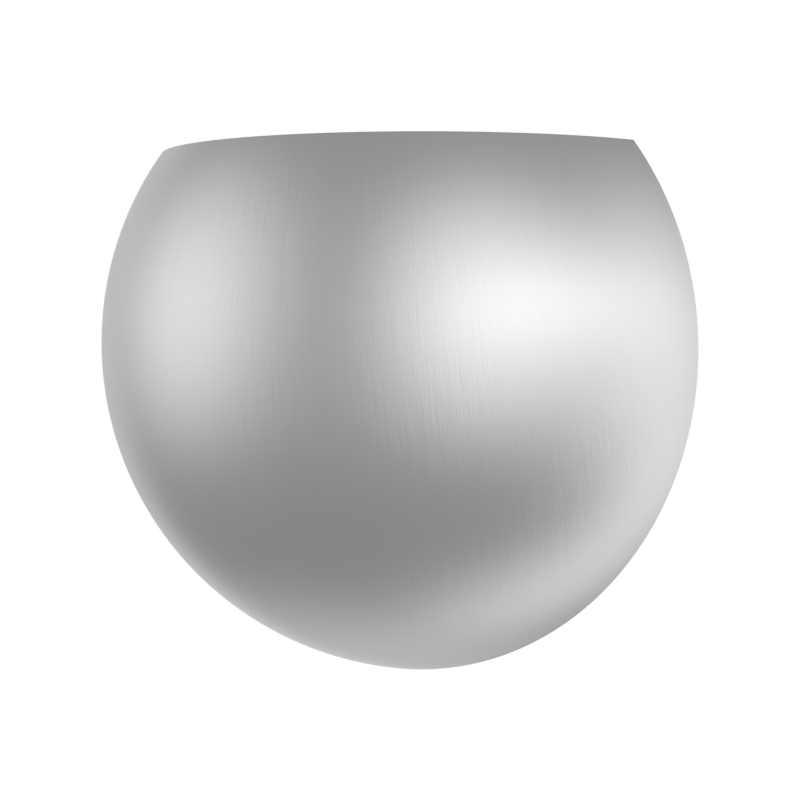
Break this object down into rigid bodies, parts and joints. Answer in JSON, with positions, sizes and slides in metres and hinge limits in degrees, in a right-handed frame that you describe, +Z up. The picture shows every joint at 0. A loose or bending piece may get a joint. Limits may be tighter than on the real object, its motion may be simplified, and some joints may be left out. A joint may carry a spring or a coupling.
{
  "type": "half moon wall sconce",
  "caption": "Half moon uplight wall sconce: a brushed steel bowl cut from a sphere, open at the top, on a wall pan with a screw-base lamp inside.",
  "frame": {"origin": "centre of the bowl's round wall edge, in the plane of the wall", "axes": "+X to the right of someone who faces the wall, +Y into the wall (the room is at -Y), +Z up"},
  "size_m": [0.2538, 0.098, 0.2029],
  "materials": {
    "brushed_stainless": "brushed stainless steel, bare",
    "white_enamel": "white powder coat on steel",
    "galvanised_steel": "bright zinc plate",
    "satin_nickel": "satin nickel plate on brass",
    "bright_brass": "bare brass",
    "copper_wire": "bare copper",
    "porcelain": "glazed porcelain, opaque",
    "black_glass": "opaque black glass",
    "white_plastic": "moulded, satin",
    "opal_plastic": "opal diffuser, matt",
    "natural_nylon": "moulded nylon",
    "black_rubber": "moulded, matt",
    "clear_silicone": "translucent silicone",
    "glass_fibre_felt": "needled felt",
    "lamp_solder": "solder pad",
    "plain_aluminium": "plain sheet",
    "phosphor_yellow": "silicone over phosphor",
    "circuit_board": "solder mask",
    "black_insulation": "vinyl insulation",
    "white_insulation": "vinyl insulation",
    "green_insulation": "vinyl insulation"
  },
  "bodies": {
    "wall_plate": {"back_pan": "white_enamel", "insulation_pad": "glass_fibre_felt", "cable_bushing": "black_rubber", "pillar_left": "galvanised_steel", "pillar_right": "galvanised_steel", "lamp_bracket": "galvanised_steel", "bracket_rivets": "plain_aluminium", "holder_body": "porcelain", "holder_shell": "bright_brass", "holder_tongue": "bright_brass", "tongue_rivet": "bright_brass", "nipple": "galvanised_steel", "nipple_nut": "galvanised_steel", "star_washer": "galvanised_steel", "block_body": "natural_nylon", "block_tubes": "bright_brass", "block_clamp_screws": "galvanised_steel", "block_fixing_screws": "galvanised_steel", "earth_washer": "galvanised_steel", "earth_screw": "galvanised_steel", "earth_lug": "copper_wire", "live_lead": "black_insulation", "neutral_lead": "white_insulation", "earth_lead": "green_insulation", "lead_cores": "copper_wire", "rubber_stops": "clear_silicone"},
    "bowl": {"shade": "brushed_stainless", "ear_left": "brushed_stainless", "ear_right": "brushed_stainless"},
    "screw_left": {"thumbscrew_left": "satin_nickel", "screw_ring_left": "galvanised_steel", "screw_washer_left": "natural_nylon"},
    "screw_right": {"thumbscrew_right": "satin_nickel", "screw_ring_right": "galvanised_steel", "screw_washer_right": "natural_nylon"},
    "lamp": {"lamp_contact": "lamp_solder", "lamp_insulator": "black_glass", "lamp_cap": "satin_nickel", "lamp_housing": "white_plastic", "lamp_globe": "opal_plastic", "lamp_board": "plain_aluminium", "lamp_chips": "phosphor_yellow", "lamp_driver": "circuit_board"}
  },
  "joints": [
    {"name": "shade_pull_off", "type": "slide", "parent": "wall_plate", "child": "bowl", "axis": [0, -1, 0], "range_m": [0, 0.12]},
    {"name": "thumbscrew_left_turn", "type": "hinge", "parent": "bowl", "child": "screw_left", "pos_m": [-0.09599, -0.03, 0.02], "axis": [0, -1, 0], "continuous": true},
    {"name": "thumbscrew_right_turn", "type": "hinge", "parent": "bowl", "child": "screw_right", "pos_m": [0.09599, -0.03, 0.02], "axis": [0, -1, 0], "continuous": true},
    {"name": "lamp_lift_out", "type": "slide", "parent": "wall_plate", "child": "lamp", "axis": [0, 0, 1], "range_m": [0, 0.15]}
  ]
}
